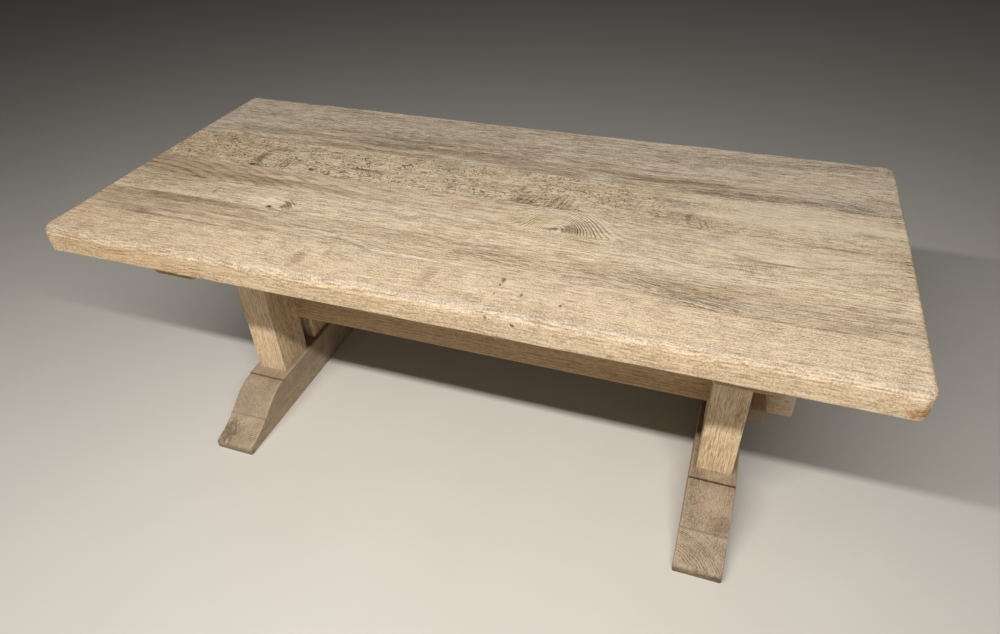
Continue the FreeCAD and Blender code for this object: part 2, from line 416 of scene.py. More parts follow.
def figureGroup():
    # Growth lines, streaks, fine lines, dashes, grit, mottle, pores and curling hairlines
    floats = ["Ring", "Cut", "Worn", "Ring Depth", *(f"{depth} Depth" for depth in depths)]
    inputs = {"Vector": ["Grain", "Offset"], "Color": ["Pale", "Brown"], "Float": floats}
    outputs = {"Color": ["Color"], "Float": ["Roughness", "Height"]}
    tree, given, made = newGroup("figure", inputs, outputs)
    grain = calcVector("ADD", given["Grain"], given["Offset"])
    ring = addTimes(grainNoise(grain, "wander"), oak["ringWander"], given["Ring"])
    strength = addNode("TexWhiteNoise", {"W": calc("FLOOR", ring)}, noise_dimensions="1D")[0]
    part = calc("FRACT", ring)
    early = calc("MAXIMUM", soft(part, *oak["earlyFall"], 1, 0), soft(part, *oak["earlyRise"]))
    early = times(early, soft(strength, 0, 1, oak["ringLeast"], 1))

    # The tone runs from pale to brown
    values = {label: swing(grain, label.lower()) for label in swings}
    tone = calc("SUBTRACT", early, oak["earlyMean"])
    tone = addTimes(tone, given["Ring Depth"], oak["tone"])
    for label, value in values.items():
        tone = addTimes(value, given[f"{label} Depth"], tone)
    tone = addTimes(given["Cut"], oak["endTone"], tone)
    bare = soft(values["Dash"], *oak["bareRange"], *oak["bareTone"])
    tone = calc("SUBTRACT", tone, times(given["Worn"], bare))
    colour = mixColour(soft(tone, *oak["toneRange"]), given["Pale"], given["Brown"])
    warm = soft(grainNoise(grain, "hue"), *oak["hueRange"])
    hue = mixColour(warm, oak["coolHue"], oak["warmHue"])
    colour = mixColour(1, colour, hue, "MULTIPLY")
    dots = soft(grainNoise(grain, "pore"), *oak["poreRange"])
    dots = times(dots, addTimes(early, 1 - oak["poreLeast"], oak["poreLeast"]))
    colour = mixColour(times(dots, given["Pore Depth"]), colour, tint(*oak["poreColour"]))

    # Curls are the contour lines of a noise, broken and patchy
    bend = times(grainNoise(grain, "curl", distortion=oak["curlTwist"]), oak["curlLines"])
    curl = calc("ABSOLUTE", centred(calc("FRACT", bend)))
    curl = soft(curl, *oak["curlWidth"], 1, 0)
    breaks = soft(grainNoise(grain, "curlBreaks"), *oak["breakRange"])
    patches = grainNoise(grain, "curlPatches")
    patches = soft(patches, *oak["patchRange"], oak["patchLeast"], 1)
    for share in (breaks, patches, given["Curl Depth"]):
        curl = times(curl, share)
    colour = mixColour(curl, colour, tint(*oak["curlColour"]))
    feed(made, {
        "Color": colour,
        "Roughness": soft(values["Grit"], -0.5, 0.5, *oak["roughness"]),
        "Height": addTimes(dots, oak["poreHeight"], values["Dash"]),
    })
    return tree


def markGroup():
    # A ragged patch: full about its centre, gone outside an ellipsoid of the given half sizes
    inputs = {"Vector": ["Place", "Centre", "Half"], "Float": ["Rough", "Ragged", "Strength"]}
    tree, given, made = newGroup("mark", inputs, {"Float": ["Mask"]})
    away = calcVector("SUBTRACT", given["Place"], given["Centre"])
    away = calcVector("DIVIDE", away, given["Half"])
    reach = addNode("VectorMath", {0: away}, operation="LENGTH")["Value"]
    reach = addTimes(given["Rough"], given["Ragged"], reach)
    feed(made, {"Mask": times(soft(reach, oak["markFull"], 1, 1, 0), given["Strength"])})
    return tree


def hatchGroup():
    # Fine uneven lines: a noise of the place along and across the grain, each times its lines per metre
    inputs = {"Vector": ["Grain", "Lines"], "Float": ["Rough"]}
    tree, given, made = newGroup("hatch", inputs, {"Float": ["Mask"]})
    feeds = {0: given["Grain"], 1: given["Lines"]}
    step = addNode("VectorMath", feeds, operation="DOT_PRODUCT")["Value"]
    step = addTimes(given["Rough"], oak["hatchWaver"], step)
    feeds = {"W": step, "Scale": 1, "Detail": 0}
    lines = addNode("TexNoise", feeds, noise_dimensions="1D")[0]
    feed(made, {"Mask": soft(lines, *oak["hatchRange"])})
    return tree


groups = {
    "growth": growthGroup(),
    "knot": knotGroup(),
    "figure": figureGroup(),
    "mark": markGroup(),
    "hatch": hatchGroup(),
}


def mark(centre, half, strength, colour, ragged=0.7, lines=None, streaky=False, blend="MULTIPLY"):
    # Lines are numbers per metre along the grain and across it; a streaky mark frays along the grain
    look = {"Centre": centre, "Half": half, "Strength": strength, "Ragged": ragged}
    return {"look": look, "colour": colour, "lines": lines, "streaky": streaky, "blend": blend}


def oakMaterial(name, look, wood):
    # The wood's axes are named in the order along, across and into the grain
    material, tree, shader = newMaterial(name)
    coords = addNode("TexCoord", {}, tree)
    parts = addNode("SeparateXYZ", {0: coords["Object"]})
    feeds = {new: parts[axis] for new, axis in enumerate(wood["axes"])}
    place = addNode("CombineXYZ", feeds)[0]
    normal = addNode("SeparateXYZ", {0: coords["Normal"]})
    facing, sideways = (calc("ABSOLUTE", normal[axis]) for axis in wood["axes"][:2])
    feeds = {"Place": place, "Pith": (0, *wood["pith"]), "Drift": (0, *wood["drift"])}
    feeds |= {"Sway": wood["sway"], "Ring Width": wood["ringWidth"]}
    grown = useGroup("growth", feeds)
    depth = addTimes(sideways, look.get("sideRing", 0), look["ring"])
    for sizes in wood.get("knots", ()):
        feeds = {"Grain": grown["Grain"], "Ring": grown["Ring"], "Depth": depth}
        grown = useGroup("knot", {**feeds, **sizes})
        depth = grown["Depth"]
    grain = grown["Grain"]
    worn = addNode("Attribute", {}, tree, attribute_name="worn")["Fac"]
    feeds = {"Grain": grain, "Offset": look["offset"], "Cut": facing, "Worn": worn}
    feeds |= {"Ring": grown["Ring"], "Ring Depth": depth}
    feeds |= {label: tint(*look[label.lower()]) for label in ("Pale", "Brown")}
    feeds |= {f"{label} Depth": look[label.lower()] for label in depths}
    if "curlFade" in look:
        start, end, left = look["curlFade"]
        feeds["Curl Depth"] = soft(parts[0], start, end, look["curl"], left * look["curl"])
    figure = useGroup("figure", feeds)
    colour = figure["Color"]
    rough = swing(grain, "markEdge")
    streaks = swing(grain, "markStreak")
    for patch in look.get("marks", ()):
        edge = streaks if patch["streaky"] else rough
        feeds = {"Place": coords["Object"], "Rough": edge, **patch["look"]}
        mask = useGroup("mark", feeds)["Mask"]
        if patch["lines"]:
            feeds = {"Grain": grain, "Lines": (*patch["lines"], 0), "Rough": rough}
            mask = times(mask, useGroup("hatch", feeds)["Mask"])
        colour = mixColour(mask, colour, tint(*patch["colour"]), patch["blend"])
    feeds = {"Strength": oak["bump"], "Distance": oak["bumpDepth"]}
    bump = addNode("Bump", {**feeds, "Height": figure["Height"]})
    feed(shader, {
        "Base Color": colour,
        "Roughness": figure["Roughness"],
        "Normal": bump["Normal"],
        "Specular IOR Level": oak["specular"],
    })
    return material


# Top: six boards glued edge to edge on tongues

topShape = {
    "step": 0.012,
    "cornerRadius": 0.026,
    "rearRightRadius": 0.038,
    "upperRadius": 0.021,
    "endRadius": 0.01,
    "upperWander": 0.003,
    "lowerRadius": 0.005,
    "lowerWander": 0.002,
    "waver": 0.0012,
    "upperWave": (0.5, 0.5, 1),
    "lowerWave": (0.2, 0.2, 1),
    "waverWave": (0.16, 0.16, 0.1),
    "upperSeed": 3,
    "lowerSeed": 4,
    "waverSeed": 5,
    "cornerTurns": 7,
    "edgeTurns": 6,
    "markDepth": 0.05,
    "screwYs": (-0.29, -0.19, 0.19, 0.29),
    "pilotZone": 0.012,
    "pilotRadius": 0.0054,
}
boardLook = {
    "offset": (0, 0, 0), "pale": (222, 200, 168), "brown": (140, 115, 87), "ring": 0.1,
    "streak": 0.25, "lines": 0.8, "dash": 0.5, "grit": 0.5, "mottle": 0.15, "pore": 0.35, "curl": 0,
}
boardWood = {"axes": (0, 1, 2), "drift": (0, 0), "sway": 0.03}
topZ = cadBox[1].z
# Marks multiply the wood's colour by the first five, and cream is mixed in
umber, dusk, ochre = (172, 166, 160), (190, 190, 191), (217, 211, 206)
# tan is painted shade: it darkens the left end of the top, where less light falls
black, tan, cream = (116, 106, 98), (240, 236, 231), (232, 216, 190)
endless = 9  # half length of a mark that runs along the whole edge
tick = {"halfX": 0.012, "halfY": 0.003, "strength": 0.9, "colour": black, "ragged": 0.2}


def spot(x, y, halfX, halfY, strength, colour, **more):
    # A mark on the upper face
    half = (halfX, halfY, topShape["markDepth"])
    return mark((x, y, topZ), half, strength, colour, **more)


def smear(*sizes, **more):
    # A spot drawn out along the grain
    return spot(*sizes, streaky=True, **more)


def ticks(x, *ys):
    # Short dark lines in the end of a board
    return [spot(x, y, **tick) for y in ys]


def knot(x, y, *sizes):
    # Sizes in the order of knotSizes; those left out are zero
    return {"Centre": (x, y, 0), **dict(zip(knotSizes, sizes))}


frontBoard = {
    "look": {
        "pale": (220, 199, 169), "brown": (146, 121, 93), "sideRing": 0.3,
        "streak": 0.15, "lines": 0.55, "grit": 0.6, "mottle": 0.2,
    },
    "marks": [
        # painted shade: the left end of this board darker, where less light falls
        spot(-1.05, -0.4, 0.65, 0.3, 0.9, tan, ragged=0.2),
        # painted shade that darkens the whole front face of the top
        mark((0, -0.464, 0.72), (endless, 0.02, 0.08), 1, (237, 234, 228), 0.2),
        # painted shade that dims and cools the highlight along the upper front arris
        mark((0, -0.452, 0.764), (endless, 0.022, 0.014), 0.9, (227, 229, 234), 0.2),
        mark((-0.75, -0.46, 0.715), (0.45, 0.05, 0.04), 0.7, (243, 229, 210), streaky=True),
        spot(0.012, -0.375, 0.025, 0.06, 0.8, ochre),
        spot(-0.3, -0.4, 0.022, 0.05, 0.8, ochre),
        spot(-0.245, -0.36, 0.014, 0.03, 0.8, ochre),
        spot(0.125, -0.425, 0.04, 0.02, 0.6, ochre),
        spot(0.176, -0.345, 0.007, 0.014, 0.8, black),
        spot(0.173, -0.363, 0.004, 0.005, 0.8, black),
        spot(0.172, -0.397, 0.004, 0.008, 0.7, black),
        spot(0.228, -0.388, 0.004, 0.008, 0.9, black),
        spot(0.314, -0.399, 0.0035, 0.005, 0.9, black),
        mark((0.173, -0.457, 0.749), (0.005, 0.02, 0.006), 0.9, black),
        mark((0.23, -0.457, 0.741), (0.006, 0.02, 0.006), 0.9, black),
        mark((0.975, -0.46, 0.718), (0.035, 0.03, 0.025), 0.8, (212, 180, 142)),
    ],
    "wood": {"pith": (-0.6, 0.4), "ringWidth": 0.009, "sway": 0.05},
    "knots": [
        knot(-0.8, -0.46, 0.07, 0.1, 0.05, 2.4, 0, 0.2),
        knot(-0.55, -0.46, 0.06, 0.08, 0.05, -1.8, 0, 0.1),
        knot(-0.28, -0.46, 0.08, 0.1, 0.05, 2.2, 0, 0.1),
        knot(0.1, -0.46, 0.1, 0.12, 0.05, -1.6),
        knot(0.55, -0.46, 0.12, 0.1, 0.05, 1.8),
    ],
}
greyBoard = {
    "look": {
        "offset": (3.7, 1.3, 0.4), "pale": (214, 193, 163), "brown": (132, 108, 82),
        "ring": 0.25, "streak": 0.4, "lines": 0.9,
    },
    "marks": [
        # painted shade: the left end of this board darker, where less light falls
        spot(-1.05, -0.27, 0.65, 0.3, 0.8, tan, ragged=0.2),
        smear(-0.75, -0.275, 0.4, 0.07, 0.6, ochre, ragged=1.5),
        smear(-0.7, -0.229, 0.25, 0.03, 0.25, umber),
        smear(-0.82, -0.318, 0.12, 0.02, 0.3, umber),
        spot(0.46, -0.265, 0.16, 0.04, 0.6, dusk, lines=(50, 160)),
        spot(0.585, -0.303, 0.14, 0.045, 0.9, (172, 172, 174), lines=(40, 190)),
        spot(0.55, -0.29, 0.14, 0.04, 0.35, dusk),
        spot(0.11, -0.275, 0.12, 0.03, 0.8, dusk, lines=(40, 150)),
        spot(-0.05, -0.318, 0.17, 0.005, 0.6, cream, blend="MIX"),
        smear(0.86, -0.31, 0.16, 0.02, 0.6, ochre),
    ],
    "wood": {"pith": (-0.36, 0.62), "ringWidth": 0.009, "sway": 0.05},
    "knots": [knot(0.05, -0.3, 0.25, 0.2, 0.15, 4)],
}
knotBoard = {
    "look": {"offset": (7.1, 2.9, 0.9), "pale": (228, 208, 178)},
    "marks": [
        # painted shade: the left end of this board darker, where less light falls
        spot(-1.05, -0.17, 0.65, 0.3, 0.8, tan, ragged=0.2),
        smear(-0.88, -0.135, 0.16, 0.03, 0.35, umber),
        spot(-0.535, -0.183, 0.07, 0.035, 0.35, cream, blend="MIX"),
        spot(-0.455, -0.18, 0.03, 0.036, 0.9, (150, 148, 144), lines=(120, 160)),
        spot(-0.462, -0.195, 0.018, 0.016, 0.8, (160, 158, 154)),
        spot(-0.502, -0.206, 0.013, 0.008, 1, (90, 78, 72), ragged=0.2),
        spot(-0.92, -0.18, 0.05, 0.035, 0.8, dusk, lines=(200, 60)),
        spot(-0.69, -0.17, 0.008, 0.03, 0.8, ochre),
        spot(0.66, -0.155, 0.035, 0.035, 0.9, ochre, lines=(230, 60)),
    ],
    "wood": {"pith": (-0.55, 0.62), "ringWidth": 0.008},
    "knots": [knot(-0.48, -0.2, 0.09, 0.06, 0.05, 4, 0.015, 0.5)],
}
eyeBoard = {
    "look": {"offset": (11.3, 4.1, 1.7), "pale": (222, 201, 171), "ring": 0.3},
    "marks": [
        smear(-0.95, -0.06, 0.6, 0.14, 0.9, (202, 196, 190)),
        smear(-0.45, -0.08, 0.3, 0.06, 0.6, ochre, ragged=1.5),
        spot(0.15, -0.085, 0.08, 0.04, 0.7, (238, 238, 222)),
        spot(0.213, -0.103, 0.034, 0.018, 0.7, (206, 188, 166), ragged=0.3, blend="MIX"),
        spot(0.212, -0.113, 0.028, 0.008, 0.9, umber, ragged=0.3),
        spot(0.224, -0.108, 0.01, 0.009, 0.8, black, ragged=0.3),
        spot(0.257, -0.106, 0.035, 0.03, 0.7, umber),
        spot(0.28, -0.095, 0.07, 0.055, 0.5, umber),
        spot(0.72, -0.118, 0.11, 0.006, 0.9, umber, ragged=0.4),
        spot(0.86, -0.019, 0.14, 0.006, 0.7, umber, ragged=0.5),
        *ticks(0.985, -0.09, -0.072, -0.06, -0.042, -0.03),
        smear(0.8, -0.07, 0.3, 0.06, 0.25, cream, blend="MIX"),
    ],
    "wood": {"pith": (0.45, 0.5), "drift": (-0.03, 0), "ringWidth": 0.022, "sway": 0.04},
    "knots": [
        knot(-1, -0.07, 0.5, 0.5, 0.2, 9, 0, 0.4),
        knot(0.72, -0.12, 0.2, 0.2, 0.12, -3),
        knot(0.225, -0.105, 0.06, 0.095, 0.11, 10, 0.01, 0.3),
        knot(0.225, -0.105, 0.04, 0.05, 0.06, 4.5),
        knot(0.255, -0.105, 0.09, 0.085, 0.07, 0, 0, 2.8),
    ],
}
curlBoard = {
    "look": {
        "offset": (13.9, 5.3, 2.3), "pale": (227, 206, 175), "brown": (140, 113, 84),
        "ring": 0.03, "streak": 0.3, "lines": 0.75, "dash": 0.6, "curl": 0.9,
        "curlFade": (0.35, 0.75, 0.2),  # from and to these X, down to this share
    },
    "marks": [
        # painted shade: the left end of this board darker, where less light falls
        spot(-1.05, 0.07, 0.65, 0.3, 0.6, tan, ragged=0.2),
        spot(-0.69, 0.04, 0.022, 0.07, 0.9, umber),
        spot(-0.675, -0.005, 0.04, 0.018, 0.8, umber),
        spot(-0.655, 0.1, 0.045, 0.018, 0.7, umber),
        spot(-0.595, 0.02, 0.035, 0.05, 1, umber, lines=(150, 0)),
        spot(-0.36, 0.047, 0.11, 0.009, 0.9, umber, ragged=0.4),
        spot(-0.33, 0.035, 0.06, 0.012, 0.6, (238, 224, 215)),
        spot(-0.14, 0.11, 0.05, 0.06, 0.4, dusk),
        spot(-0.1, 0.02, 0.012, 0.06, 0.6, dusk),
        spot(0.11, 0.015, 0.055, 0.055, 0.8, (150, 142, 134), lines=(220, -80)),
        spot(0.11, 0, 0.05, 0.025, 0.35, umber),
        spot(0.195, 0.015, 0.055, 0.05, 0.8, (150, 142, 134), lines=(210, -30)),
        spot(0.2, 0, 0.05, 0.03, 0.35, ochre),
        *ticks(0.98, 0.13, 0.142),
        spot(0.48, 0.06, 0.06, 0.08, 0.4, dusk),
        spot(0.515, 0.03, 0.01, 0.045, 0.6, umber),
        spot(0.56, 0.01, 0.045, 0.035, 0.6, umber, lines=(150, 60)),
        smear(0.75, 0.1, 0.5, 0.09, 0.4, cream, blend="MIX"),
    ],
    "wood": {"pith": (0.55, 0.74), "ringWidth": 0.008},
    "knots": [knot(0.165, 0.082, 0.035, 0.035, 0.025, 4, 0.01, 0.9)],
}
rearBoard = {
    "look": {
        "offset": (17.7, 6.1, 3.1), "pale": (217, 199, 173), "brown": (130, 113, 94),
        "ring": 0.2, "streak": 0.5, "lines": 1, "dash": 0.8, "grit": 0.6,
    },
    "marks": [
        smear(-0.3, 0.21, 0.9, 0.06, 0.7, (206, 196, 184), ragged=1.5),
        smear(0.65, 0.19, 0.4, 0.05, 0.55, (206, 198, 188), ragged=1.5),
        spot(-0.07, 0.37, 0.07, 0.03, 0.8, dusk, lines=(60, 150)),
        smear(0.87, 0.172, 0.05, 0.014, 0.55, umber),
        smear(0.53, 0.165, 0.03, 0.014, 0.55, umber),
        smear(0, 0.45, 1.2, 0.03, 0.4, cream, blend="MIX"),
    ],
    "wood": {"pith": (0.25, 0.6), "drift": (0.04, 0), "ringWidth": 0.012, "sway": 0.08},
}
boards = (frontBoard, greyBoard, knotBoard, eyeBoard, curlBoard, rearBoard)


def topBoard(number, look, marks, wood, knots=()):
    shape = topShape
    node = f"top_board_{number}"
    low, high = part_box(node)
    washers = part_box("right_top_washers")
    screwX = (washers[0].x + washers[1].x) / 2
    screwYs = [y for y in shape["screwYs"] if low.y < y < high.y]
    pilots = [(side * screwX, y) for side in hands.values() for y in screwYs]
    seams = [seam for seam in (number - 1, number) if 0 < seam < len(boards)]
    tongues = [np.array(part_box(f"top_tongue_{seam}")) for seam in seams]
    grooves = [(start - glueGap, end + glueGap) for start, end in tongues]
    corner = shape["cornerRadius"]
    zone = shape["pilotZone"]
    xBreaks = {low.x, high.x, grooves[0][0][0], grooves[0][1][0]}
    xBreaks |= {x + side * zone for x, y in pilots for side in hands.values()}
    yBreaks = {low.y, high.y} | {y + side * zone for y in screwYs for side in hands.values()}
    zBreaks = {low.z, high.z, grooves[0][0][2], grooves[0][1][2]}
    frontRound = corner if number == 1 else 0
    rearRound = corner if number == len(boards) else 0
    step, turns = shape["step"], shape["cornerTurns"]
    lower, upper = shape["lowerRadius"], shape["upperRadius"]
    points, quads = boxSurface(
        stations(sorted(xBreaks), step, corner, corner, turns),
        stations(sorted(yBreaks), step, frontRound, rearRound, turns),
        stations(sorted(zBreaks), step, lower, upper, shape["edgeTurns"]),
    )

    # Round the corners in plan, then the upper and lower edges, which wander a little
    flat = points * (1, 1, 0)
    lower = lower + shape["lowerWander"] * ripple(flat, shape["lowerWave"], shape["lowerSeed"])
    waver = (0.5 + 0.5 * ripple(points, shape["waverWave"], shape["waverSeed"])).clip(0, 1)
    halfX, halfY = cadBox[1].x, cadBox[1].y
    x, y, z = points.T
    endInset = halfX - np.abs(x)
    sideInset = halfY - np.abs(y)
    inset = np.minimum(endInset, sideInset)
    corner = np.where((x > 0) & (y > 0), shape["rearRightRadius"], corner)
    atEnd = np.clip(0.5 + (sideInset - endInset) / (2 * corner), 0, 1)
    upper = upper + atEnd * (shape["endRadius"] - upper)
    upper = upper + shape["upperWander"] * ripple(flat, shape["upperWave"], shape["upperSeed"])
    endInset, sideInset, _ = roundEdge(endInset, sideInset, corner)
    upperInset, topInset, _ = roundEdge(inset, high.z - z, upper)
    lowerInset, bottomInset, lowerWorn = roundEdge(inset, z - low.z, lower)
    shift = shape["waver"] * waver * np.clip(1 - inset / corner, 0, 1)
    shift = upperInset + lowerInset - 2 * inset + shift
    # Every point moves in by its shift, square to the outline in plan
    a = np.clip(corner - endInset, 0, corner)
    b = np.clip(corner - sideInset, 0, corner)
    size = np.maximum(np.hypot(a, b), tiny)
    rows = np.column_stack([
        np.sign(x) * (halfX - endInset - shift * a / size),
        np.sign(y) * (halfY - sideInset - shift * b / size),
        np.where(z > (low.z + high.z) / 2, high.z - topInset, low.z + bottomInset),
        lowerWorn,
    ])

    for start, end in grooves:
        face, bottom = (low.y, end[1]) if start[1] < low.y else (high.y, start[1])
        chosen = facesIn(rows, quads, (start[0], face, start[2]), (end[0], face, end[2]))
        rows, quads, _ = moveFaces(rows, quads, chosen, rows * (1, 0, 1, 1) + (0, bottom, 0, 0))
    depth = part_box("right_top_screws")[1].z - low.z + glueGap
    for middle in pilots:
        rows, quads = bored(rows, quads, middle, low.z, zone, shape["pilotRadius"], depth)
    look = {**boardLook, **look, "marks": marks}
    wood = {**boardWood, **wood, "knots": knots}
    makePiece(f"topBoard{number}", node, rows, quads, oakMaterial(f"topOak{number}", look, wood))


for number, board in enumerate(boards, 1):
    topBoard(number, **board)
print("top: boards done")


# Feet: two layers glued, the outline a seat, a quirk, a round and a hollow

trestleLook = {
    "offset": (23, 8, 4), "pale": (190, 160, 119), "brown": (116, 88, 58), "ring": 0.2,
    "streak": 0.3, "lines": 0.4, "dash": 0.45, "grit": 0.3, "mottle": 0.1, "pore": 0.4, "curl": 0,
}
footLook = {
    **trestleLook, "pale": (171, 150, 124), "brown": (108, 89, 69), "ring": 0.1,
    "lines": 0.45, "dash": 0.35, "mottle": 0.35, "pore": 0.25,
}
trestleWood = {"drift": (0.03, 0.02), "ringWidth": 0.005, "sway": 0.02}
footShape = {
    "step": 0.006,
    "seatMargin": 0.036,
    "quirkDepth": 0.005,
    "quirkLean": 0.0008,
    "quirkRun": 0.02,
    "toeHeight": 0.026,
    "toeRadius": 0.009,
    "ogeeRunShare": 0.42,
    "ogeeFallShare": 0.45,
    "ogeeBulge": 0.005,
    "arris": 0.004,
    "arrisWander": 0.35,
    "arrisWave": (0.2, 0.1, 1),
    "arrisSeed": 21,
    "arrisTurns": 3,
    "arrisShare": 0.7,  # of the thickness, at most
    "toeTurns": 5,
    "toeWear": 0.4,
    "shareStep": 0.1,
    "feather": 0.0006,
    "fadeRun": 0.012,
    "fadeLeast": 0.02,
}
footLayers = {
    "lower": {
        "look": {**footLook, "pale": (180, 159, 133), "ring": 0.7},
        "pith": (0.11, -0.35), "drift": (0, 0), "ringWidth": 0.0026,
    },
    "upper": {"look": footLook, "pith": (0.6, 0.3), "drift": (0, 0.05), "ringWidth": 0.005},
}
footMarks = {
    "left": [
        mark((-0.69, -0.25, 0.06), (0.5, 0.5, 0.5), 0.12, (212, 190, 162), 0.3, blend="MIX"),
        mark((-0.728, -0.375, 0.04), (0.045, 0.07, 0.04), 0.8, umber),
    ],
    "right": [mark((0.72, -0.3, 0.08), (0.035, 0.04, 0.03), 0.7, (226, 212, 206))],
}
# Dark lines on the feet: in the quirk, dirt together with painted shade in the groove; a darker band low
# at the toe; the glue seam between the layers
footShades = {
    "quirk": {"half": (0.5, 0.003, 0.008), "strength": 0.9, "colour": black, "ragged": 0.3},
    "toe": {"half": (0.5, 0.03, 0.03), "strength": 0.8, "colour": umber},
    "seam": {"half": (0.5, 0.006, 0.005), "strength": 0.4, "colour": umber, "ragged": 0.3},
}
tenonShape = {"shoulder": 0.026, "cheek": 0.018}


def tenonBox(hand, face):
    # The box of a post, drawn in to the sides of its tenons
    low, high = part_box(f"{hand}_{face}_post")
    inset = np.array([tenonShape["shoulder"], tenonShape["cheek"], 0])
    return np.array(low) + inset, np.array(high) - inset


def mortiseBox(hand, face):
    low, high = tenonBox(hand, face)
    return low - glueGap, high + glueGap


def arc(start, end, halfTurn, count=60):
    # L / 2 + R sin t along the chord and R (cos t - cos h) to its left, for t from -h to h
    length = np.hypot(*(end - start))
    unit = (end - start) / length
    turn = np.linspace(-halfTurn, halfTurn, count)[:, None]
    radius = length / 2 / np.sin(halfTurn)
    along = length / 2 + radius * np.sin(turn)
    aside = radius * (np.cos(turn) - np.cos(halfTurn))
    return start + along * unit + aside * np.array([-unit[1], unit[0]])


def footOutline(halfLength, height, seatEnd):
    # Half the outline as y and z; the second arc starts in the direction that the first one ends in
    shape = footShape
    seat = np.array([[0, height], [seatEnd, height]])
    quirk = np.array([[seatEnd + shape["quirkLean"], height - shape["quirkDepth"]]])
    brow = np.array([seatEnd + shape["quirkRun"], height - shape["quirkDepth"]])
    toe = np.array([halfLength, shape["toeHeight"]])
    turn = brow + (toe - brow) * (shape["ogeeRunShare"], shape["ogeeFallShare"])
    roundTurn = 2 * atan(2 * shape["ogeeBulge"] / hypot(*(turn - brow)))
    heading = atan2(*(turn - brow)[::-1]) - roundTurn
    hollowTurn = heading - atan2(*(toe - turn)[::-1])
    return np.concatenate([seat, quirk, arc(brow, turn, roundTurn), arc(turn, toe, hollowTurn)[1:]])


def footLayer(hand, layer, look, pith, drift, ringWidth):
    shape = footShape
    node = f"{hand}_foot_{layer}"
    low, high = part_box(node)
    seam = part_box(f"{hand}_foot_lower")[1]
    halfLength = seam.y
    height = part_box(f"{hand}_foot_upper")[1].z
    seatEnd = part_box(f"{hand}_rear_post")[1].y + shape["seatMargin"]
    outline = footOutline(halfLength, height, seatEnd)
    quirkY, quirkZ = outline[2]
    crossing = np.interp(-seam.z, -outline[:, 1], outline[:, 0])
    mortiseLow, mortiseHigh = mortiseBox(hand, "rear")
    yBreaks = [0, mortiseLow[1], mortiseHigh[1], seatEnd, seatEnd + shape["quirkLean"]]
    if layer == "upper":
        yEnd = np.interp(-seam.z - shape["feather"], -outline[:, 1], outline[:, 0])
        ys = stations([*yBreaks, yEnd], shape["step"])
    else:
        toe = shape["toeRadius"], shape["toeTurns"]
        ys = stations([0, crossing, halfLength], shape["step"], 0, *toe)
    arris, arrisTurns = shape["arris"], shape["arrisTurns"]
    xBreaks = [low.x, mortiseLow[0], mortiseHigh[0], high.x]
    xs = stations(xBreaks, shape["step"], arris, arris, arrisTurns)
    turns = np.tan(np.linspace(0, pi / 4, arrisTurns + 1))
    shares = np.concatenate([stations([0, 1], shape["shareStep"]), 1 + turns[1:]])
    points, quads = boxSurface(xs, np.unique(np.concatenate([-ys, ys])), shares)

    # Shares up to 1 climb from the bottom to the arris, and from 1 to 2 over it
    x, y, share = points.T
    top = np.minimum(np.interp(np.abs(y), outline[:, 0], outline[:, 1]), high.z)
    thick = top - low.z
    arris = wanderingArris(points * (1, 1, 0), shape)
    if layer == "lower":
        arris = arris * np.clip((np.abs(y) - crossing) / shape["fadeRun"], shape["fadeLeast"], 1)
    arris = np.minimum(arris, shape["arrisShare"] * thick)
    z = low.z + np.minimum(share, 1) * (thick - arris) + np.maximum(share - 1, 0) * arris
    middle, half = (low.x + high.x) / 2, (high.x - low.x) / 2
    sideInset, topInset, worn = roundEdge(half - np.abs(x - middle), top - z, arris)
    if layer == "lower":
        toeInset, topInset, toeWorn = roundEdge(halfLength - np.abs(y), topInset, shape["toeRadius"])
        toeInset, sideInset, _ = roundEdge(toeInset, sideInset, shape["arris"])
        y = np.sign(y) * (halfLength - toeInset)
        worn = np.maximum(worn, shape["toeWear"] * toeWorn)
    x = middle + np.sign(x - middle) * (half - sideInset)
    rows = np.column_stack([x, y, top - topInset, worn])
    if layer == "upper":
        for face in ("front", "rear"):
            start, end = mortiseBox(hand, face)
            rows, quads = relevel(rows, quads, start, end, height, start[2])
    wood = {**trestleWood, "axes": (1, 0, 2), "drift": drift, "ringWidth": ringWidth}
    wood["pith"] = (middle - hands[hand] * pith[0], pith[1])
    places = {"quirk": (quirkY, quirkZ), "toe": (halfLength, 0), "seam": (crossing, seam.z)}
    marks = [
        mark((middle, side * y, z), **footShades[label])
        for label, (y, z) in places.items() for side in hands.values()
    ]
    look = {**look, "marks": marks + footMarks[hand]}
    name = f"{hand}Foot{layer.title()}"
    makePiece(name, node, rows, quads, oakMaterial(name + "Oak", look, wood))


for hand in hands:
    for layer, piece in footLayers.items():
        footLayer(hand, layer, **piece)
print("feet done")


# Posts: a shaft with a housing for the stretcher, and a tenon at each end

postShape = {
    "step": 0.012,
    "arris": 0.004,
    "arrisWander": 0.3,
    "arrisWave": (0.4, 0.4, 0.12),
    "arrisSeed": 41,
    "arrisTurns": 3,
    "housing": 0.004,
}
postWood = {**trestleWood, "axes": (2, 0, 1)}
postLook = {
    **trestleLook, "pale": (216, 190, 153), "brown": (150, 123, 90),
    "streak": 0.5, "lines": 0.7, "dash": 0.8, "pore": 0.5,
}
postPiths = {"front": (0.8, -0.4), "rear": (-0.8, 0.4)}


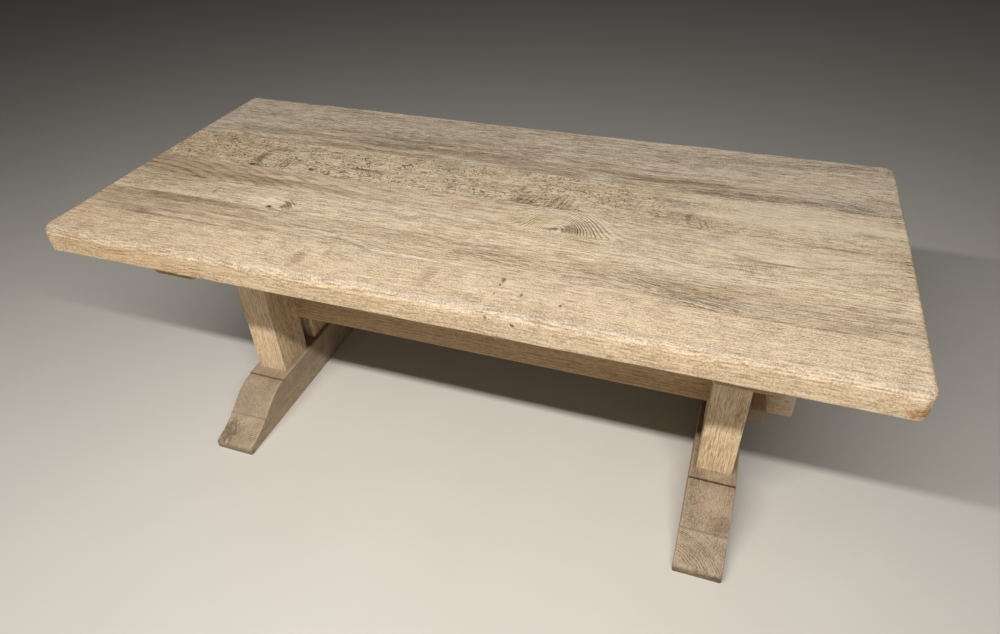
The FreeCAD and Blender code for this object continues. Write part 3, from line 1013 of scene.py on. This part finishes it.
def post(hand, face, pith):
    node = f"{hand}_{face}_post"
    low, high = (np.array(corner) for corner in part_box(node))
    tenonLow, tenonHigh = tenonBox(hand, face)
    low[2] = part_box(f"{hand}_foot_upper")[1].z
    high[2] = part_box(f"{hand}_bearer")[0].z
    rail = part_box("stretcher")
    arris, step = postShape["arris"], postShape["step"]
    sides = [
        stations(breaks, step, arris, arris, postShape["arrisTurns"])
        for breaks in list(zip(low, tenonLow, tenonHigh, high))[:2]
    ]
    zBreaks = [low[2], *(corner.z + side * hair for corner in rail for side in (-1, 1)), high[2]]
    points, quads = boxSurface(*sides, stations(zBreaks, step))
    radius = wanderingArris(points, postShape)
    rows = roundBox(points, low, high, (radius, 0, 0))
    # Over the height of the rail no point is nearer the middle than the floor of the housing
    housed = (points[:, 2] > rail[0].z) & (points[:, 2] < rail[1].z)
    inner = min(abs(low[1]), abs(high[1])) + postShape["housing"]
    y = rows[:, 1]
    rows[:, 1] = np.where(housed, np.sign(y) * np.maximum(np.abs(y), inner), y)
    for level, end in ((low[2], tenonLow[2]), (high[2], tenonHigh[2])):
        rows, quads = relevel(rows, quads, tenonLow, tenonHigh, level, end)
    name = f"{hand}{face.title()}Post"
    material = oakMaterial(name + "Oak", postLook, {**postWood, "pith": pith})
    makePiece(name, node, rows, quads, material)


for hand in hands:
    for face, pith in postPiths.items():
        post(hand, face, pith)
print("posts done")


# Bearers: round underneath, with mortises and with counterbores for the screws

bearerShape = {
    "step": 0.012,
    "lowerRadius": 0.011,
    "arris": 0.004,
    "turns": 4,
    "boreZone": 0.019,
    "boreRadius": 0.014,
    "boreDepth": 0.02,
}
bearerWood = {**trestleWood, "axes": (1, 0, 2), "pith": (-0.3, 0.4)}


def bearer(hand):
    shape = bearerShape
    node = f"{hand}_bearer"
    low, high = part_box(node)
    middle = (low.x + high.x) / 2
    mortises = [mortiseBox(hand, face) for face in ("front", "rear")]
    zone, step = shape["boreZone"], shape["step"]
    xBreaks = [low.x, mortises[0][0][0], middle - zone, middle + zone, mortises[0][1][0], high.x]
    yBreaks = [low.y, high.y, *(corner[1] for mortise in mortises for corner in mortise)]
    yBreaks += [y + side * zone for y in topShape["screwYs"] for side in (-1, 1)]
    radius, arris, turns = shape["lowerRadius"], shape["arris"], shape["turns"]
    points, quads = boxSurface(
        stations(xBreaks, step, radius, radius, turns),
        stations(sorted(yBreaks), step, radius, radius, turns),
        stations([low.z, high.z], step, radius, 0, turns),
    )
    above = (high.x, high.y, high.z + 1)  # the upper edges, under the top, stay square
    rows = roundBox(points, low, above, (arris, arris, radius))
    for start, end in mortises:
        rows, quads = relevel(rows, quads, start, end, low.z, end[2])
    bore = zone, shape["boreRadius"], shape["boreDepth"]
    for y in topShape["screwYs"]:
        rows, quads = bored(rows, quads, (middle, y), low.z, *bore)
    material = oakMaterial(f"{hand}BearerOak", trestleLook, bearerWood)
    makePiece(f"{hand}Bearer", node, rows, quads, material)


for hand in hands:
    bearer(hand)
print("bearers done")


# Stretcher: a rail with shoulders and a tongue at each end, slotted for the key

stretcherShape = {
    "step": 0.01,
    "arris": 0.003,
    "arrisTurns": 3,
    "tongueHalf": 0.029,
    "endRadius": 0.009,
    "endTurns": 5,
    "endWear": 0.5,
    "slotRelief": 0.006,
    "keyFit": 0.0003,
    "paleX": 0.86,
    "paleZ": 0.31,
}
tonguePale = {"half": (0.1, 0.1, 0.2), "strength": 0.9, "colour": (196, 176, 152), "blend": "MIX"}
palePlaces = [(side * stretcherShape["paleX"], 0, stretcherShape["paleZ"]) for side in hands.values()]
stretcherLook = {**trestleLook, "marks": [mark(place, **tonguePale) for place in palePlaces]}
stretcherWood = {**trestleWood, "axes": (0, 2, 1), "pith": (0.45, 0.3), "drift": (0.01, 0)}
keyTaper = 0.038  # width that the key loses for each metre to the rear


def stretcher():
    shape = stretcherShape
    low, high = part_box("stretcher")
    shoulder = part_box("right_front_post")[0].x
    keyLow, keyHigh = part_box("right_key")
    slotLow = keyLow.x - shape["slotRelief"]
    slotHigh = keyHigh.x + keyTaper * (shape["tongueHalf"] + keyLow.y) + shape["keyFit"]
    slotTop = keyHigh.z + shape["keyFit"]
    half = [shoulder - hair, shoulder + hair, slotLow, slotHigh, high.x]
    xBreaks = [-place for place in half[::-1]] + half
    zBreaks = [low.z, keyLow.z, slotTop, high.z]
    step, arris, radius = shape["step"], shape["arris"], shape["endRadius"]
    points, quads = boxSurface(
        stations(xBreaks, step, radius, radius, shape["endTurns"]),
        stations([low.y, high.y], step, arris, arris, shape["arrisTurns"]),
        stations(zBreaks, step, radius, radius, shape["endTurns"]),
    )
    x, y, z = points.T
    # Past the shoulder the sides step in to the tongue
    thick = np.where(np.abs(x) > shoulder, shape["tongueHalf"], high.y)
    sideInset = thick * (1 - np.abs(y) / high.y)
    middle, halfZ = (low.z + high.z) / 2, (high.z - low.z) / 2
    endInset, topInset, endWorn = roundEdge(high.x - np.abs(x), halfZ - np.abs(z - middle), radius)
    sideInset, topInset, worn = roundEdge(sideInset, topInset, arris)
    rows = np.column_stack([
        np.sign(x) * (high.x - endInset),
        np.sign(y) * (thick - sideInset),
        middle + np.sign(z - middle) * (halfZ - topInset),
        np.maximum(worn, shape["endWear"] * endWorn),
    ])
    # The front faces of a slot go through to the rear, where they and its own faces are dropped
    for side in hands.values():
        xs = sorted((side * slotLow, side * slotHigh))
        front, rear = -shape["tongueHalf"], shape["tongueHalf"]
        chosen = facesIn(rows, quads, (xs[0], front, keyLow.z), (xs[1], front, slotTop))
        rows, quads, _ = moveFaces(rows, quads, chosen, rows * (1, -1, 1, 1))
        quads = quads[~facesIn(rows, quads, (xs[0], rear, keyLow.z), (xs[1], rear, slotTop))]
    # The outer end of each slot leans with the taper of the key
    lean = np.interp(np.abs(rows[:, 0]), (slotLow, slotHigh, high.x - radius), (0, 1, 0))
    rows[:, 0] -= np.sign(rows[:, 0]) * lean * keyTaper * (rows[:, 1] + shape["tongueHalf"])
    material = oakMaterial("stretcherOak", stretcherLook, stretcherWood)
    makePiece("stretcherRail", "stretcher", rows, quads, material)


stretcher()
print("stretcher done")


# Keys: tapered wedges that draw out forwards

keyShape = {
    "step": 0.008,
    "arris": 0.005,
    "arrisWander": 0.25,
    "arrisWave": (0.1, 0.1, 0.1),
    "arrisSeed": 82,
    "arrisTurns": 4,
}
# The key's wood is paler than the trestle's: painted light on its shaded top face
keyLookWithPaintedLight = {**trestleLook, "pale": (228, 208, 182), "brown": (176, 154, 128)}
keyWood = {
    "axes": (1, 0, 2), "pith": (0.5, 0.2), "drift": (0.02, 0), "ringWidth": 0.004, "sway": 0.01,
}
# Painted shade: the key's front end darker than its top, where the fill light falls on it
paintedKeyEndShade = {"half": (0.3, 0.006, 0.3), "strength": 1, "colour": (176, 168, 158), "ragged": 0.2}


def key(hand, side):
    node = f"{hand}_key"
    low, high = (np.array(corner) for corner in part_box(node))
    arris, step, turns = keyShape["arris"], keyShape["step"], keyShape["arrisTurns"]
    sides = [stations(ends, step, arris, arris, turns) for ends in zip(low, high)]
    points, quads = boxSurface(*sides)
    radius = wanderingArris(points, keyShape)
    rows = roundBox(points, low, high, (radius, radius, radius))
    # The outer side comes in by the taper times the way from the front
    inner = low[0] if side > 0 else high[0]
    width = high[0] - low[0]
    rows[:, 0] = inner + (rows[:, 0] - inner) * (1 - keyTaper * (rows[:, 1] - low[1]) / width)
    # The paler key wood and the darker front end are painted light and painted shade
    look = {**keyLookWithPaintedLight, "marks": [mark((inner, low[1], low[2]), **paintedKeyEndShade)]}
    makePiece(f"{hand}Key", node, rows, quads, oakMaterial(f"{hand}KeyOak", look, keyWood))


for hand, side in hands.items():
    key(hand, side)
print("keys done")


# Hidden tongues, and steel screws and washers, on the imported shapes

steelLook = {
    "dark": (176, 176, 178),
    "light": (206, 206, 204),
    "cloudScale": (90, 90, 90),
    "scratchScale": (900, 60, 60),
    "scratchRange": (0.3, 0.7),
    "roughness": (0.28, 0.5),
}


def zincSteel():
    material, tree, shader = newMaterial("zincSteel")
    place = addNode("TexCoord", {}, tree)["Object"]
    cloud = noise(place, steelLook["cloudScale"], detail=3)
    scratch = noise(place, steelLook["scratchScale"], detail=2)
    feed(shader, {
        "Base Color": mixColour(cloud, tint(*steelLook["dark"]), tint(*steelLook["light"])),
        "Metallic": 1,
        "Roughness": soft(scratch, *steelLook["scratchRange"], *steelLook["roughness"]),
    })
    return material


tongueLook = {**boardLook, "pale": (200, 174, 136)}
tongueWood = {**boardWood, "pith": (0.1, 0.4), "ringWidth": 0.004}
materials = {
    "inner_oak": oakMaterial("innerOak", tongueLook, tongueWood),
    "screw_steel": zincSteel(),
}
for node, slot in slotOf.items():
    if slot in materials:
        for holder in frame["nodes"][node].material_slots:
            holder.material = materials[slot]
print("tongues and screws done")


# Stage

stageShape = {
    "floorHalf": 9,
    "floorSteps": 5,
    "floorScale": (1.7, 1.7, 1.7),
    "floorLight": (214, 208, 198),
    "floorDark": (204, 197, 186),
    "floorRoughness": 0.85,
    "floorSpecular": 0.2,
    "cameraPlace": (0.5945, -1.5133, 1.6226),
    "cameraTurn": (52.397, 1.518, 19.071),
    "lens": 25.455,
    "sensor": 36,
    "keyPlace": (0.18, -1.75, 2.48),
    "lightAim": Vector((0.18, 0, 0.7)),
    "keySize": (3.4, 0.07),
    "keyPower": 110,
    "fillPlace": (0.6, -4, 0.6),
    "fillSize": (5, 1),
    "fillPower": 28,
    "skyColour": (0.93, 0.95, 1, 1),
    "skyStrength": 0.03,
}


def floor():
    half = stageShape["floorHalf"]
    places = np.linspace(-half, half, stageShape["floorSteps"])
    points, quads = gridSheet(places, places)
    mesh = bpy.data.meshes.new("floor")
    mesh.from_pydata(np.column_stack([points, np.zeros(len(points))]).tolist(), [], quads.tolist())
    material, tree, shader = newMaterial("paleFloor")
    place = addNode("TexCoord", {}, tree)["Object"]
    cloud = noise(place, stageShape["floorScale"], detail=4)
    light, dark = tint(*stageShape["floorLight"]), tint(*stageShape["floorDark"])
    feed(shader, {
        "Base Color": mixColour(cloud, light, dark),
        "Roughness": stageShape["floorRoughness"],
        "Specular IOR Level": stageShape["floorSpecular"],
    })
    mesh.materials.append(material)
    sheet = newObject("floor", mesh)


def studio():
    scene = bpy.context.scene
    data = bpy.data.cameras.new("camera")
    data.lens = stageShape["lens"]
    data.sensor_width = stageShape["sensor"]
    camera = newObject("camera", data)
    camera.location = stageShape["cameraPlace"]
    camera.rotation_euler = [radians(turn) for turn in stageShape["cameraTurn"]]
    scene.camera = camera
    for name in ("key", "fill"):
        data = bpy.data.lights.new(name, "AREA")
        data.shape = "RECTANGLE"
        data.size, data.size_y = stageShape[name + "Size"]
        data.energy = stageShape[name + "Power"]
        light = newObject(name, data)
        light.location = stageShape[name + "Place"]
        aim = stageShape["lightAim"] - light.location
        light.rotation_euler = aim.to_track_quat("-Z", "Y").to_euler()
    world = bpy.data.worlds.new("sky")
    world.use_nodes = True
    feed(world.node_tree.nodes["Background"], {
        "Color": stageShape["skyColour"],
        "Strength": stageShape["skyStrength"],
    })
    scene.world = world
    scene.view_settings.view_transform = "Standard"


floor()
studio()
print("stage done")
